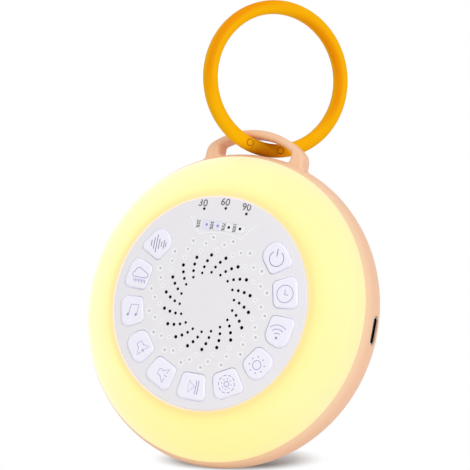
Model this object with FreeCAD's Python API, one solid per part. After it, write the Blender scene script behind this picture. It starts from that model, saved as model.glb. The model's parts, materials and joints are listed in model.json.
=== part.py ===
import FreeCAD, Part
import math
import os
from FreeCAD import Placement, Rotation, Vector

os.makedirs("parts", exist_ok=True)

# A round sound machine with a lit ring, eleven keys and a carry ring. Millimetres.
# +Z is up, the keys face -Y, and the flat back lies in the plane Y = 0.

# Body shells
body_radius = 52.4
body_depth = 35.0
widest_depth = 15.4
front_curve_centre = 20.5
back_flat_radius = 26.0
parting_depth = 9.7
housing_wall = 2.0
diffuser_wall = 1.8
seam_gap = 0.1
weld = 0.5
overshoot = 1.0
lip_height = 2.0
lip_thickness = 0.95
flange_thickness = 1.6

# Front panel
panel_radius = 35.0
panel_gap = 0.15
panel_thickness = 1.8
panel_dome = 0.85
panel_bevel = 0.35
ledge_width = 1.1
ledge_thickness = 1.15
ledge_gap = 0.05
skirt_thickness = 0.85
skirt_gap = 0.15
snap_height = 0.6
snap_bite = 0.4

# Keys: rounded wedges in a row that leaves the top of the panel free
key_names = ["power", "sleep_timer", "wireless", "brightness", "light_mode", "play",
             "volume_down", "volume_up", "music", "rain", "white_noise"]
key_places = 14
key_phase = -1.1
key_rim_margin = 3.3
key_height = 8.5
key_outer_width = 11.0
key_inner_width = 8.3
key_rise = 0.5
key_clearance = 0.16
key_edge_round = 0.7
key_flange_lip = 0.45
key_flange_gap = 0.1
key_flange_thickness = 0.8
key_post_radius = 1.3
key_post_length = 0.9
key_travel = 0.35
key_stop_gap = 0.1

# Corner radii of each key: outer left, outer right, inner right, inner left
key_corners = {"power": [3.9, 1.7, 1.7, 3.9], "sleep_timer": [2.2, 2.2, 1.9, 1.9],
               "wireless": [1.8, 3.4, 3.4, 1.7], "brightness": [3.3, 3.6, 2.8, 2.4],
               "light_mode": [1.8, 2.4, 2.2, 1.9], "play": [2.0, 2.2, 1.7, 1.8],
               "volume_down": [2.3, 2.6, 2.0, 1.7], "volume_up": [2.6, 3.6, 3.0, 1.9],
               "music": [2.6, 2.6, 2.0, 2.0], "rain": [2.2, 3.0, 2.0, 1.8],
               "white_noise": [1.7, 3.9, 3.9, 1.7]}

# Speaker holes and dimples lie on spiral arms
arm_count = 18
arm_phase = -1.69
arm_turn = 5.31
hole_rows = 4
hole_row_step = 1.885
hole_diameter_inner = 0.95
hole_diameter_outer = 1.2
hole_margin = 2.45
dimple_steps = [1.88, 3.93, 5.83]
dimple_turns = [5.76, 12.5, 19.8]
dimple_radii = [0.42, 0.52, 0.56]
dimple_depths = [0.07, 0.16, 0.18]

# Timer marks and charge gauge
timer_mark_margin = 3.9
timer_mark_turn = 14.43
pip_radius = 0.45
pip_clearance = 0.05
pipe_radius = 1.0
gauge_margin = 10.0
gauge_pitch = 4.07
gauge_count = 4
gauge_shift = 0.5
gauge_window_height = 3.0
gauge_window_length = 15.7
gauge_window_shift = 0.75
gauge_window_gap = 0.05
gauge_window_corner = 0.9
ridge_width = 0.4
ridge_rise = 0.14
ridge_margin = 12.2
ridge_half_turn = 20.0
ridge_arm = 7.0
ridge_splay = 37.0

# Speaker
speaker_gap = 0.2
speaker_wall = 1.0
speaker_wall_height = 1.9
cloth_thickness = 0.3
gasket_thickness = 0.4
gasket_width = 1.6
speaker_flange = 0.8
basket_depth = 4.3
basket_sheet = 0.6
basket_bore = 7.0
basket_window_width = 7.0
basket_window_margin = 0.8
magnet_radius = 10.0
magnet_gap = 0.2
cone_sheet = 0.3
cone_setback = 0.2
cone_margin = 0.1
cone_surround = 1.6
cone_depth = 2.6
dust_cap_radius = 4.5
dust_cap_rise = 1.0

# Boards and switches
board_thickness = 1.2
board_gap = 0.3
boss_radius = 1.6
boss_gap = 0.25
boss_hole_radius = 0.65
small_screw_radius = 0.6
small_head_radius = 1.3
small_head_height = 0.9
small_screw_length = 4.2
screw_clearance = 0.15
plunger_radius = 1.2
plunger_height = 0.7
switch_height = 1.8
switch_length = 6.0
switch_width = 3.6
led_length = 1.6
led_width = 0.8
led_height = 0.6
ring_led_count = 12
ring_led_size = 2.8
ring_led_height = 1.3
ring_board_gap = 0.1
ring_board_margin = 1.6
ring_board_width = 4.4
reflector_thickness = 0.5
reflector_gap = 0.1
frame_post_height = 4.4
frame_post_radius = 1.5
frame_thickness = 1.4
frame_gap = 0.5
frame_socket_length = 5.0
frame_socket_radius = 3.0
frame_post_turns = [60.0, 120.0, 180.0, 240.0, 300.0]

# Housing screws
screw_circle = 34.0
screw_radius = 1.2
screw_head_radius = 2.3
screw_head_height = 1.6
screw_grip = 4.0
screw_bite = 4.2
boss_wall = 0.9
boss_end_gap = 0.05
recess_length = 3.0
recess_width = 0.5
recess_depth = 0.7

# Charging socket, a standard size
socket_width = 8.94
socket_height = 3.26
socket_length = 7.35
socket_roundness = 0.98
socket_sheet = 0.3
socket_recess = 0.45
socket_clearance = 0.3
socket_height_above_centre = 0.5
socket_frame_gap = 0.2
socket_back = 1.0
tongue_width = 6.7
tongue_thickness = 0.7
tongue_length = 6.0

# Main board and cell
main_board_left = 30.0
main_board_height = 36.0
main_board_corner = 3.0
main_post_inset = 4.0
board_under_socket = 1.5
chip_size = 9.0
chip_height = 1.4
amplifier_size = 5.0
amplifier_place = (-20.0, 4.0)
connector_height = 2.2
connector_length = 7.0
connector_width = 4.0
connector_inset = 5.5
connector_drop = 13.0
header_length = 10.0
header_width = 2.5
header_margin = 1.7
header_gap = 0.5
cell_front_gap = 0.6
cell_length = 45.0
cell_height = 34.0
cell_corner = 2.5
cell_shift = -3.0
foam_thickness = 2.2
foam_inset = 3.6
cradle_gap = 0.3
cradle_wall = 1.2
cradle_length = 12.0
lead_radius = 0.55
lead_spacing = 1.3
lead_gap = 0.05
cell_lead_spacing = 2.0
cell_lead_reach = 5.0
cell_lead_drop = 3.0
cell_lead_bend = 1.6
lead_turn = 20.0

# Hanging loop
loop_arc_radius = 27.15
loop_apex_height = 8.4
loop_bar = 2.65
loop_depth = 6.4
loop_half_width = 18.3
loop_hole_half_width = 13.2
loop_shoulder = 5.0
loop_hole_corner = 1.2
loop_root_round = 1.4
loop_hole_root_round = 1.0
loop_edge_round = 1.3

# Carry ring, hung in the loop
ring_radius = 24.2
ring_half_width = 2.3
ring_half_thickness = 2.55
ring_corner = 2.1
ring_heading = 50.3
ring_lean = 3.2
ring_rest_gap = 0.43
ring_side_shift = 0.5
ring_back_shift = 0.8
link_start = -10.0
link_end = 10.5
link_gap = 0.12
link_pin_radius = 0.95
link_pin_clearance = 0.03
link_tongue_thickness = 2.2
link_tongue_turn = 7.0
link_slot_clearance = 0.1

# Worked out sizes, front to back
front = -body_depth
widest_y = front + widest_depth
panel_back = front + panel_thickness
flange_front = panel_back + key_flange_gap
flange_back = flange_front + key_flange_thickness
post_end = flange_back + key_post_length
plunger_top = post_end + key_travel + key_stop_gap
switch_face = plunger_top + plunger_height
key_board_front = switch_face + switch_height
key_board_back = key_board_front + board_thickness
frame_front = key_board_back + frame_post_height
frame_back = frame_front + frame_thickness
socket_y = frame_back + socket_frame_gap + socket_height / 2
main_board_front = socket_y + socket_height / 2
main_board_back = main_board_front + board_thickness
ring_board_back = frame_front - ring_board_gap
ring_board_front = ring_board_back - board_thickness
cell_front = main_board_back + connector_height + cell_front_gap
inner_back = -housing_wall
cell_back = inner_back - foam_thickness
socket_end = frame_back + frame_socket_length

# Worked out sizes, across
panel_edge = panel_radius - panel_gap
skirt_outer = panel_radius - ledge_width - skirt_gap
skirt_inner = skirt_outer - skirt_thickness
key_outer_radius = panel_radius - key_rim_margin
key_inner_radius = key_outer_radius - key_height
boss_circle = key_inner_radius - key_flange_lip - boss_gap - boss_radius
speaker_wall_outer = boss_circle - boss_radius - boss_gap
speaker_radius = speaker_wall_outer - speaker_wall - speaker_gap
outer_hole_circle = speaker_radius - hole_margin
key_board_radius = skirt_inner - board_gap
key_board_hole = speaker_radius + speaker_gap
key_pitch = 360.0 / key_places
dome_radius = (panel_edge**2 + panel_dome**2) / (2 * panel_dome)
front_curve_long = body_radius - front_curve_centre
front_curve_share = (panel_radius - front_curve_centre) / front_curve_long
front_curve_short = widest_depth / math.sqrt(1 - front_curve_share**2)
back_curve_long = body_radius - back_flat_radius
back_curve_short = body_depth - widest_depth
flange_radius = panel_radius + flange_thickness
parting_y = front + parting_depth


def save(shape, node):
    """Write one node's solid or group of solids."""
    shape.exportStep("parts/" + node + ".step")


def at(x, y, z):
    return Vector(x, y, z)


def polar(radius, turn, y):
    """A point at a radius and an angle that runs clockwise from the top, seen from the front."""
    return at(radius * math.sin(math.radians(turn)), y, radius * math.cos(math.radians(turn)))


def post(radius, y0, y1, x=0.0, z=0.0):
    """A round bar along Y."""
    return Part.makeCylinder(radius, y1 - y0, at(x, y0, z), at(0, 1, 0))


def post_at(radius, y0, y1, circle, turn):
    centre = polar(circle, turn, 0)
    return post(radius, y0, y1, centre.x, centre.z)


def tube(outer, inner, y0, y1):
    return post(outer, y0, y1).cut(post(inner, y0 - overshoot, y1 + overshoot))


def block(x0, x1, y0, y1, z0, z1):
    return Part.makeBox(x1 - x0, y1 - y0, z1 - z0, at(x0, y0, z0))


def turned(shape, turn):
    """Turn a shape clockwise about the body's axis, seen from the front."""
    copy = shape.copy()
    copy.rotate(at(0, 0, 0), at(0, 1, 0), turn)
    return copy


def spin(edges):
    """Revolve a closed outline in the XY plane about the body's axis."""
    solid = Part.Face(Part.Wire(edges)).revolve(at(0, 0, 0), at(0, 1, 0), 360)
    if solid.Volume < 0:
        solid.reverse()
    return solid


def line(a, b):
    return Part.makeLine(a, b)


def outline(points):
    """Straight edges through points given as (radius, y), open at the end."""
    corners = [at(r, y, 0) for r, y in points]
    return [line(a, b) for a, b in zip(corners, corners[1:])]


def merge(shapes):
    first = shapes[0]
    return first.fuse(shapes[1:]).removeSplitter() if len(shapes) > 1 else first


def front_curve_radius(y, inset=0.0):
    """Radius of the front shell's curve at a depth, or of the curve inset by a wall."""
    rise = (widest_y - y) / (front_curve_short - inset)
    return front_curve_centre + (front_curve_long - inset) * math.sqrt(1 - rise**2)


def front_curve_y(radius, inset=0.0):
    reach = (radius - front_curve_centre) / (front_curve_long - inset)
    return widest_y - (front_curve_short - inset) * math.sqrt(1 - reach**2)


def front_arc(radius0, radius1, inset=0.0):
    """Arc of the front shell's curve between two radii, both ahead of the widest plane."""
    middle = (radius0 + radius1) / 2
    ends = [at(r, front_curve_y(r, inset), 0) for r in (radius0, radius1)]
    curve = Part.Ellipse(at(front_curve_centre, widest_y, 0),
                         front_curve_long - inset, front_curve_short - inset)
    marks = sorted(curve.parameter(end) for end in ends)
    arc = Part.ArcOfEllipse(curve, marks[0], marks[1])
    if arc.toShape().distToShape(Part.Vertex(at(middle, front_curve_y(middle, inset), 0)))[0] > 0.01:
        arc = Part.ArcOfEllipse(curve, marks[1], marks[0] + 2 * math.pi)
    return arc.toShape()


def back_arc(inset=0.0):
    """Quarter of the back shell's curve, from the widest plane to the flat back."""
    curve = Part.Ellipse(at(back_flat_radius, widest_y, 0),
                         back_curve_long - inset, back_curve_short - inset)
    return Part.ArcOfEllipse(curve, 0, math.pi / 2).toShape()


def dome_y(radius):
    """Depth of the panel's domed front at a radius."""
    return front - panel_dome + dome_radius - math.sqrt(dome_radius**2 - radius**2)


def dome_solid(rise=0.0):
    """Disc down to the panel's back, with its front cut from a large ball."""
    top = front - panel_dome - rise
    ball = Part.makeSphere(dome_radius, at(0, top + dome_radius, 0))
    return post(panel_edge, top - overshoot, panel_back).common(ball)


def moved_sides(corners, distance):
    """Corners of a clockwise outline whose sides all move outwards by a distance."""
    count = len(corners)
    sides = []
    for i in range(count):
        (t0, r0), (t1, r1) = corners[i], corners[(i + 1) % count]
        length = math.hypot(t1 - t0, r1 - r0)
        normal = (-(r1 - r0) / length, (t1 - t0) / length)
        sides.append((normal, normal[0] * t0 + normal[1] * r0 + distance))
    result = []
    for i in range(count):
        (a, b), c = sides[i - 1]
        (d, e), f = sides[i]
        det = a * e - b * d
        result.append(((c * e - b * f) / det, (a * f - c * d) / det))
    return result


def rounded_face(corners, radii, place):
    """Face of a polygon with rounded corners; place turns a 2-D point into a 3-D one."""
    count = len(corners)
    trims = []
    for i in range(count):
        corner = Vector(corners[i][0], corners[i][1], 0)
        before = Vector(corners[i - 1][0], corners[i - 1][1], 0).sub(corner).normalize()
        after = Vector(*corners[(i + 1) % count], 0).sub(corner).normalize()
        half = before.getAngle(after) / 2
        reach = radii[i] / math.tan(half)
        bisector = before.add(after).normalize()
        tip = corner.add(bisector.multiply(radii[i] / math.sin(half) - radii[i]))
        trims.append((corner.add(before.multiply(reach)), tip, corner.add(after.multiply(reach))))
    edges = []
    for i in range(count):
        start, tip, end = trims[i]
        edges.append(Part.Arc(place(start), place(tip), place(end)).toShape())
        edges.append(line(place(end), place(trims[(i + 1) % count][0])))
    return Part.Face(Part.Wire(edges))


def rounded_box(x0, x1, z0, z1, radius, y0, y1):
    """Block along Y with rounded corners in the XZ plane."""
    corners = [(x0, z0), (x0, z1), (x1, z1), (x1, z0)]
    face = rounded_face(corners, [radius] * 4, lambda p: at(p.x, y0, p.y))
    return face.extrude(at(0, y1 - y0, 0))


def key_turn(index):
    """Angle of a key, counted clockwise from the top."""
    return 180.0 + key_phase + key_pitch * (index - (len(key_names) - 1) / 2)


def key_prism(index, grow, y0, y1):
    """The key's outline, grown by a margin, as a prism along Y."""
    outer = key_outer_radius
    inner = key_inner_radius
    corners = [(-key_outer_width / 2, outer), (key_outer_width / 2, outer),
               (key_inner_width / 2, inner), (-key_inner_width / 2, inner)]
    radii = [radius + grow for radius in key_corners[key_names[index]]]
    turn = math.radians(key_turn(index))

    def place(p):
        return at(p.y * math.sin(turn) + p.x * math.cos(turn), y0,
                  p.y * math.cos(turn) - p.x * math.sin(turn))

    return rounded_face(moved_sides(corners, grow), radii, place).extrude(at(0, y1 - y0, 0))


def key_middle_radius():
    return (key_outer_radius + key_inner_radius) / 2


def make_key(index):
    """One key: a raised cap, a flange behind the panel and a short post for its switch."""
    top = dome_y(key_middle_radius()) - key_rise
    cap = key_prism(index, 0, top, flange_front)
    rim = [edge for edge in cap.Edges if abs(edge.BoundBox.YMax - top) < 1e-4]
    cap = cap.makeFillet(key_edge_round, rim)
    flange = key_prism(index, key_flange_lip, flange_front, flange_back)
    stem = post_at(key_post_radius, flange_back, post_end, key_middle_radius(), key_turn(index))
    return merge([cap, flange, stem])


def hole_places():
    """Centres and radii of the speaker holes, row by row along the spiral arms."""
    places = []
    for row in range(hole_rows):
        circle = outer_hole_circle - hole_row_step * (hole_rows - 1 - row)
        share = row / (hole_rows - 1)
        radius = (hole_diameter_inner + share * (hole_diameter_outer - hole_diameter_inner)) / 2
        for arm in range(arm_count):
            places.append((circle, arm_phase + arm_turn * row + arm * 360.0 / arm_count, radius))
    return places


def dimple(circle, turn, radius, depth):
    """Ball that leaves a round dimple of a given mouth radius and depth in the dome."""
    ball = (radius**2 + depth**2) / (2 * depth)
    return Part.makeSphere(ball, polar(circle, turn, dome_y(circle) + depth - ball))


def dimple_balls():
    last_row = arm_phase + arm_turn * (hole_rows - 1)
    balls = []
    for step, extra, radius, depth in zip(dimple_steps, dimple_turns, dimple_radii, dimple_depths):
        for arm in range(arm_count):
            turn = last_row + extra + arm * 360.0 / arm_count
            balls.append(dimple(outer_hole_circle + step, turn, radius, depth))
    return balls


def timer_turns():
    return [-timer_mark_turn, 0.0, timer_mark_turn]


def gauge_z():
    return panel_radius - gauge_margin


def gauge_places():
    first = gauge_shift - gauge_pitch * (gauge_count - 1) / 2
    return [(first + gauge_pitch * i, gauge_z()) for i in range(gauge_count)]


def timer_places():
    points = [polar(panel_radius - timer_mark_margin, turn, 0) for turn in timer_turns()]
    return [(p.x, p.z) for p in points]


def pipe_places():
    return timer_places() + gauge_places()


def gauge_prism(shrink, y0, y1):
    half = gauge_window_length / 2 - shrink
    tall = gauge_window_height / 2 - shrink
    return rounded_box(gauge_window_shift - half, gauge_window_shift + half,
                       gauge_z() - tall, gauge_z() + tall, gauge_window_corner, y0, y1)


def ridge_prism():
    """Outline of the raised line under the gauge: an arc with two splayed arms."""
    circle = panel_radius - ridge_margin
    y0 = front - panel_dome - overshoot
    y1 = front + weld
    arc = tube(circle + ridge_width / 2, circle - ridge_width / 2, y0, y1)
    reach = panel_radius * 2
    half = math.radians(ridge_half_turn)
    corners = [at(0, y0, 0), at(-reach * math.sin(half), y0, reach * math.cos(half)),
               at(reach * math.sin(half), y0, reach * math.cos(half)), at(0, y0, 0)]
    wedge = Part.Face(Part.makePolygon(corners)).extrude(at(0, y1 - y0, 0))
    pieces = [arc.common(wedge)]
    for side in (-1, 1):
        arm = block(-ridge_width / 2, ridge_width / 2, y0, y1, 0, ridge_arm)
        arm = arm.fuse([post(ridge_width / 2, y0, y1), post(ridge_width / 2, y0, y1, 0, ridge_arm)])
        arm = turned(arm.removeSplitter(), side * ridge_splay)
        arm.translate(polar(circle, side * ridge_half_turn, 0))
        pieces.append(arm)
    return merge(pieces)


def boss_turns():
    """Board bosses stand between the keys' inner ends, clear of the gauge."""
    return [45.0, 135.0, 225.0, 315.0]


def make_front_panel():
    body = dome_solid()
    ahead = front - overshoot
    outside = panel_edge + overshoot
    bevel = spin(outline([(panel_edge - panel_bevel, ahead), (outside, ahead), (outside, front + panel_bevel),
                          (panel_edge, front + panel_bevel), (panel_edge - panel_bevel, front),
                          (panel_edge - panel_bevel, ahead)]))
    ridge = ridge_prism().common(dome_solid(ridge_rise))
    body = body.fuse(ridge).cut(bevel)
    wall_end = panel_back + speaker_wall_height
    wall = tube(speaker_wall_outer, speaker_wall_outer - speaker_wall, panel_back, wall_end)
    snap_front = panel_back + ledge_thickness + 2 * ledge_gap
    skirt = tube(skirt_outer, skirt_inner, panel_back, snap_front + snap_height)
    middle = skirt_outer - skirt_thickness / 2
    bead = spin(outline([(middle, snap_front), (skirt_outer + snap_bite, snap_front),
                         (skirt_outer, snap_front + snap_height), (middle, snap_front + snap_height),
                         (middle, snap_front)]))
    bosses = [post_at(boss_radius, panel_back, key_board_front, boss_circle, turn) for turn in boss_turns()]
    body = body.fuse([wall, skirt, bead] + bosses)
    deep = front - panel_dome - overshoot
    through = panel_back + weld
    cuts = [key_prism(i, key_clearance, deep, through) for i in range(len(key_names))]
    cuts += [post_at(radius, deep, through, circle, turn) for circle, turn, radius in hole_places()]
    cuts += [post(pip_radius + pip_clearance, deep, through, x, z) for x, z in pipe_places()]
    cuts += [post_at(boss_hole_radius, panel_back, key_board_front + overshoot, boss_circle, turn)
             for turn in boss_turns()]
    cuts.append(gauge_prism(0, deep, front))
    cuts += dimple_balls()
    return body.cut(cuts)


def make_gauge_window():
    """Thin label strip that fills the panel's recess, with a hole over each pip."""
    ahead = front - panel_dome - overshoot
    strip = gauge_prism(gauge_window_gap, ahead, front - gauge_window_gap)
    strip = strip.common(dome_solid())
    return strip.cut([post(pip_radius + pip_clearance, ahead, front, x, z) for x, z in gauge_places()])


def light_pipe(x, z):
    """Clear plug: a thin pip in the panel's hole on a wider post over its light."""
    tip = dome_y(math.hypot(x, z)) + pip_clearance
    base = key_board_front - led_height - pip_clearance
    shoulder = panel_back + pip_clearance
    return merge([post(pip_radius, tip, shoulder, x, z), post(pipe_radius, shoulder, base, x, z)])


def group(shapes):
    return Part.makeCompound(shapes)


def make_diffuser():
    """Translucent ring with a flange round the panel, a ledge for it and a lip in the housing's rim."""
    edge = front_curve_radius(parting_y)
    inner_edge = front_curve_radius(parting_y, diffuser_wall)
    inner_start = flange_radius
    lip_end = parting_y + lip_height
    skin = [front_arc(panel_radius, edge)]
    skin += outline([(edge, parting_y), (inner_edge + lip_thickness, parting_y),
                     (inner_edge + lip_thickness, lip_end), (inner_edge, lip_end), (inner_edge, parting_y)])
    skin.append(front_arc(inner_start, inner_edge, diffuser_wall))
    start_y = front_curve_y(inner_start, diffuser_wall)
    ledge_front = panel_back + ledge_gap
    ledge_back = ledge_front + ledge_thickness
    ledge_radius = panel_radius - ledge_width
    skin += outline([(inner_start, start_y), (inner_start, frame_front), (panel_radius, frame_front),
                     (panel_radius, ledge_back), (ledge_radius, ledge_back), (ledge_radius, ledge_front),
                     (panel_radius, ledge_front), (panel_radius, front)])
    return spin(Part.__sortEdges__(skin))


def loop_face():
    """Hanging loop seen from the front: a thick arch whose feet sink in the shell's wall."""
    apex = body_radius + loop_apex_height
    centre_z = apex - loop_arc_radius
    foot = body_radius - housing_wall * 0.8

    def half(radius, side_x, corner, root, inside):
        """Points of one edge of the arch on the right: top, corner arc, side line and root arc."""
        sign = -1 if inside else 1
        corner_x = side_x - corner
        corner_z = centre_z + math.sqrt((radius - corner)**2 - corner_x**2)
        reach = radius / (radius - corner)
        on_arc = at(corner_x * reach, 0, centre_z + (corner_z - centre_z) * reach)
        mean = math.atan2(corner_z - centre_z, corner_x) / 2
        corner_tip = at(corner_x + corner * math.cos(mean), 0, corner_z + corner * math.sin(mean))
        corner_end = at(side_x, 0, corner_z)
        root_x = side_x + sign * root
        root_z = math.sqrt((body_radius + root)**2 - root_x**2)
        side_end = at(side_x, 0, root_z)
        share = body_radius / (body_radius + root)
        on_body = at(root_x * share, 0, root_z * share)
        to_body = at(-root_x, 0, -root_z).normalize()
        to_side = at(-sign, 0, 0)
        middle = to_body.add(to_side).normalize()
        root_tip = at(root_x, 0, root_z).add(middle.multiply(root))
        return on_arc, corner_tip, corner_end, side_end, root_tip, on_body

    def edges(points, radius):
        on_arc, corner_tip, corner_end, side_end, root_tip, on_body = points
        left = [at(-p.x, 0, p.z) for p in points]
        return [Part.Arc(left[0], at(0, 0, centre_z + radius), on_arc).toShape(),
                Part.Arc(on_arc, corner_tip, corner_end).toShape(), line(corner_end, side_end),
                Part.Arc(side_end, root_tip, on_body).toShape(),
                Part.Arc(left[0], left[1], left[2]).toShape(), line(left[2], left[3]),
                Part.Arc(left[3], left[4], left[5]).toShape()]

    outer = half(loop_arc_radius, loop_half_width, loop_shoulder, loop_root_round, False)
    hole_radius = loop_arc_radius - loop_bar
    inner = half(hole_radius, loop_hole_half_width, loop_hole_corner, loop_hole_root_round, True)
    feet = []
    for sign in (-1, 1):
        far = at(sign * outer[5].x, 0, outer[5].z)
        near = at(sign * inner[5].x, 0, inner[5].z)
        far_in = at(far.x, 0, far.z).multiply(foot / body_radius)
        near_in = at(near.x, 0, near.z).multiply(foot / body_radius)
        bend = far_in.add(near_in).normalize().multiply(foot)
        feet += [line(far, far_in), Part.Arc(far_in, bend, near_in).toShape(), line(near_in, near)]
    all_edges = edges(outer, loop_arc_radius) + edges(inner, hole_radius) + feet
    return Part.Face(Part.Wire(Part.__sortEdges__(all_edges)))


def make_loop():
    face = loop_face()
    face.translate(at(0, widest_y - loop_depth / 2, 0))
    arch = face.extrude(at(0, loop_depth, 0))
    rims = []
    for edge in arch.Edges:
        flat = edge.BoundBox.YLength < 1e-6
        middle = at(edge.CenterOfMass.x, 0, edge.CenterOfMass.z).Length
        if flat and middle > body_radius + 0.3:
            rims.append(edge)
    return arch.makeFillet(loop_edge_round, rims)


def socket_prism(grow, x0, x1):
    """Rounded slot shape of the charging socket along X."""
    half_y = socket_height / 2 + grow
    half_z = socket_width / 2 + grow
    middle = socket_height_above_centre
    corners = [(-half_y, middle - half_z), (-half_y, middle + half_z),
               (half_y, middle + half_z), (half_y, middle - half_z)]
    radius = half_y * socket_roundness
    face = rounded_face(corners, [radius] * 4, lambda p: at(x0, socket_y + p.x, p.y))
    return face.extrude(at(x1 - x0, 0, 0))


def socket_mouth_x():
    return body_radius - socket_recess


def screw_turns():
    return [45.0, 135.0, 225.0, 315.0]


def boss_floor():
    """Where a housing screw's head sits."""
    return socket_end + boss_end_gap + screw_grip


def counterbore_radius():
    return screw_head_radius + screw_clearance * 2


def make_cradle():
    """Four low walls that hold the cell on the housing's back wall."""
    half_x = cell_length / 2 + cradle_gap
    half_z = cell_height / 2 + cradle_gap
    mid = (cell_front + cell_back) / 2
    half = cradle_length / 2
    walls = []
    for sign in (-1, 1):
        x = sorted((cell_shift + sign * half_x, cell_shift + sign * (half_x + cradle_wall)))
        z = sorted((sign * half_z, sign * (half_z + cradle_wall)))
        walls.append(block(x[0], x[1], mid, inner_back + weld, -half, half))
        walls.append(block(cell_shift - half, cell_shift + half, mid, inner_back + weld, z[0], z[1]))
    return walls


def make_housing():
    edge = front_curve_radius(parting_y)
    inner_edge = front_curve_radius(parting_y, diffuser_wall)
    rim_radius = inner_edge + lip_thickness + seam_gap
    rim_y = parting_y + seam_gap
    step_y = parting_y + lip_height + seam_gap
    inner_radius = front_curve_radius(step_y, housing_wall)
    rim_outer = front_curve_radius(rim_y)
    skin = [front_arc(rim_outer, body_radius), back_arc()]
    skin += outline([(back_flat_radius, 0), (0, 0), (0, inner_back), (back_flat_radius, inner_back)])
    skin += [back_arc(housing_wall), front_arc(inner_radius, body_radius - housing_wall, housing_wall)]
    skin += outline([(inner_radius, step_y), (rim_radius, step_y), (rim_radius, rim_y), (rim_outer, rim_y)])
    shell = spin(Part.__sortEdges__(skin))
    bosses = []
    for turn in screw_turns():
        outer = counterbore_radius() + boss_wall
        bosses.append(post_at(outer, socket_end + boss_end_gap, 0, screw_circle, turn))
    inside = spin(Part.__sortEdges__([back_arc(weld)] + outline(
        [(back_flat_radius, -weld), (0, -weld), (0, widest_y), (body_radius - weld, widest_y)])))
    bosses = [boss.common(inside) for boss in bosses]
    body = merge([shell, make_loop()] + bosses + make_cradle())
    cuts = []
    for turn in screw_turns():
        cuts.append(post_at(counterbore_radius(), boss_floor(), overshoot, screw_circle, turn))
        cuts.append(post_at(screw_radius + screw_clearance, socket_end - overshoot, boss_floor() + overshoot,
                            screw_circle, turn))
    wall_inside = body_radius - housing_wall - overshoot
    cuts.append(socket_prism(socket_clearance, wall_inside, body_radius + overshoot))
    return body.cut(cuts)


def make_speaker():
    """Frame, magnet, cone, gasket and cloth, stacked behind the panel."""
    wall_inner = speaker_wall_outer - speaker_wall
    cloth_back = panel_back + cloth_thickness
    gasket_back = cloth_back + gasket_thickness
    flange_end = gasket_back + speaker_flange
    basket_end = flange_end + basket_depth
    throat = speaker_radius - gasket_width
    cloth = post(wall_inner - speaker_gap, panel_back, cloth_back)
    gasket = tube(speaker_radius, throat, cloth_back, gasket_back)
    frame = spin(outline([(throat, gasket_back), (speaker_radius, gasket_back), (speaker_radius, flange_end),
                          (throat + basket_sheet, flange_end), (magnet_radius, basket_end),
                          (basket_bore, basket_end), (basket_bore, basket_end - basket_sheet),
                          (magnet_radius - basket_sheet, basket_end - basket_sheet), (throat, flange_end),
                          (throat, gasket_back)]))
    half = basket_window_width / 2
    window = block(-half, half, flange_end + basket_window_margin, basket_end - basket_window_margin,
                   magnet_radius, speaker_radius + overshoot)
    frame = frame.cut([turned(window, turn) for turn in range(0, 360, 90)])
    magnet = post(magnet_radius, basket_end, frame_front - magnet_gap)
    top = gasket_back + cone_setback
    low = top + cone_depth
    rim = throat - cone_margin
    roll = rim - cone_surround
    cap = dust_cap_radius
    cone = spin(outline([(rim, top), (rim, top + cone_sheet), (roll, top + cone_sheet),
                         (cap, low + cone_sheet),
                         (cap, low + cone_sheet + dust_cap_rise), (0, low + cone_sheet + dust_cap_rise),
                         (0, low - dust_cap_rise), (cap, low), (roll, top), (rim, top)]))
    return {"speaker_cloth": cloth, "speaker_gasket": gasket, "speaker_frame": frame,
            "speaker_magnet": magnet, "speaker_cone": cone}


def make_key_board():
    board = tube(key_board_radius, key_board_hole, key_board_front, key_board_back)
    radius = small_screw_radius + screw_clearance
    holes = [post_at(radius, key_board_front - overshoot, key_board_back + overshoot, boss_circle, turn)
             for turn in boss_turns()]
    return board.cut(holes)


def switch_block(index):
    turn = key_turn(index)
    radius = key_middle_radius()
    body = block(-switch_length / 2, switch_length / 2, switch_face, key_board_front,
                 radius - switch_width / 2, radius + switch_width / 2)
    return turned(body, turn)


def switch_plunger(index):
    return post_at(plunger_radius, plunger_top, switch_face, key_middle_radius(), key_turn(index))


def small_screw(turn):
    centre = polar(boss_circle, turn, 0)
    return board_screw(centre.x, centre.z, key_board_back)


def indicator_lamp(x, z):
    return block(x - led_length / 2, x + led_length / 2, key_board_front - led_height, key_board_front,
                 z - led_width / 2, z + led_width / 2)


def ring_board_radii():
    inner = flange_radius + ring_board_margin
    return inner, inner + ring_board_width


def ring_lamp_circle():
    inner, outer = ring_board_radii()
    return (inner + outer) / 2


def ring_lamps(size, y0, y1):
    lamps = []
    circle = ring_lamp_circle()
    for i in range(ring_led_count):
        lamp = block(-size / 2, size / 2, y0, y1, circle - size / 2, circle + size / 2)
        lamps.append(turned(lamp, 360.0 / ring_led_count * (i + 0.5)))
    return lamps


def make_reflector():
    """White sheet over the ring board with a window for each lamp."""
    inner, outer = ring_board_radii()
    start = ring_board_front - reflector_thickness
    sheet = tube(outer, inner, start, ring_board_front)
    windows = ring_lamps(ring_led_size + 2 * reflector_gap, start - overshoot, ring_board_front + overshoot)
    return sheet.cut(windows)


def main_post_places():
    half = main_board_height / 2 - main_post_inset
    right = main_board_right() - main_post_inset - socket_length
    return [(x, z) for x in (-main_board_left + main_post_inset, right) for z in (-half, half)]


def main_board_right():
    return socket_mouth_x() - socket_length + board_under_socket


def frame_radius():
    return front_curve_radius(frame_front, housing_wall) - frame_gap


def header_prism(gap, y0, y1):
    """Where the header joins two boards through the frame, beside the key board's hole."""
    x = -(key_board_hole + header_margin + header_width / 2)
    half_x = header_width / 2 + gap
    half_z = header_length / 2 + gap
    return block(x - half_x, x + half_x, y0, y1, -half_z, half_z)


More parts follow.
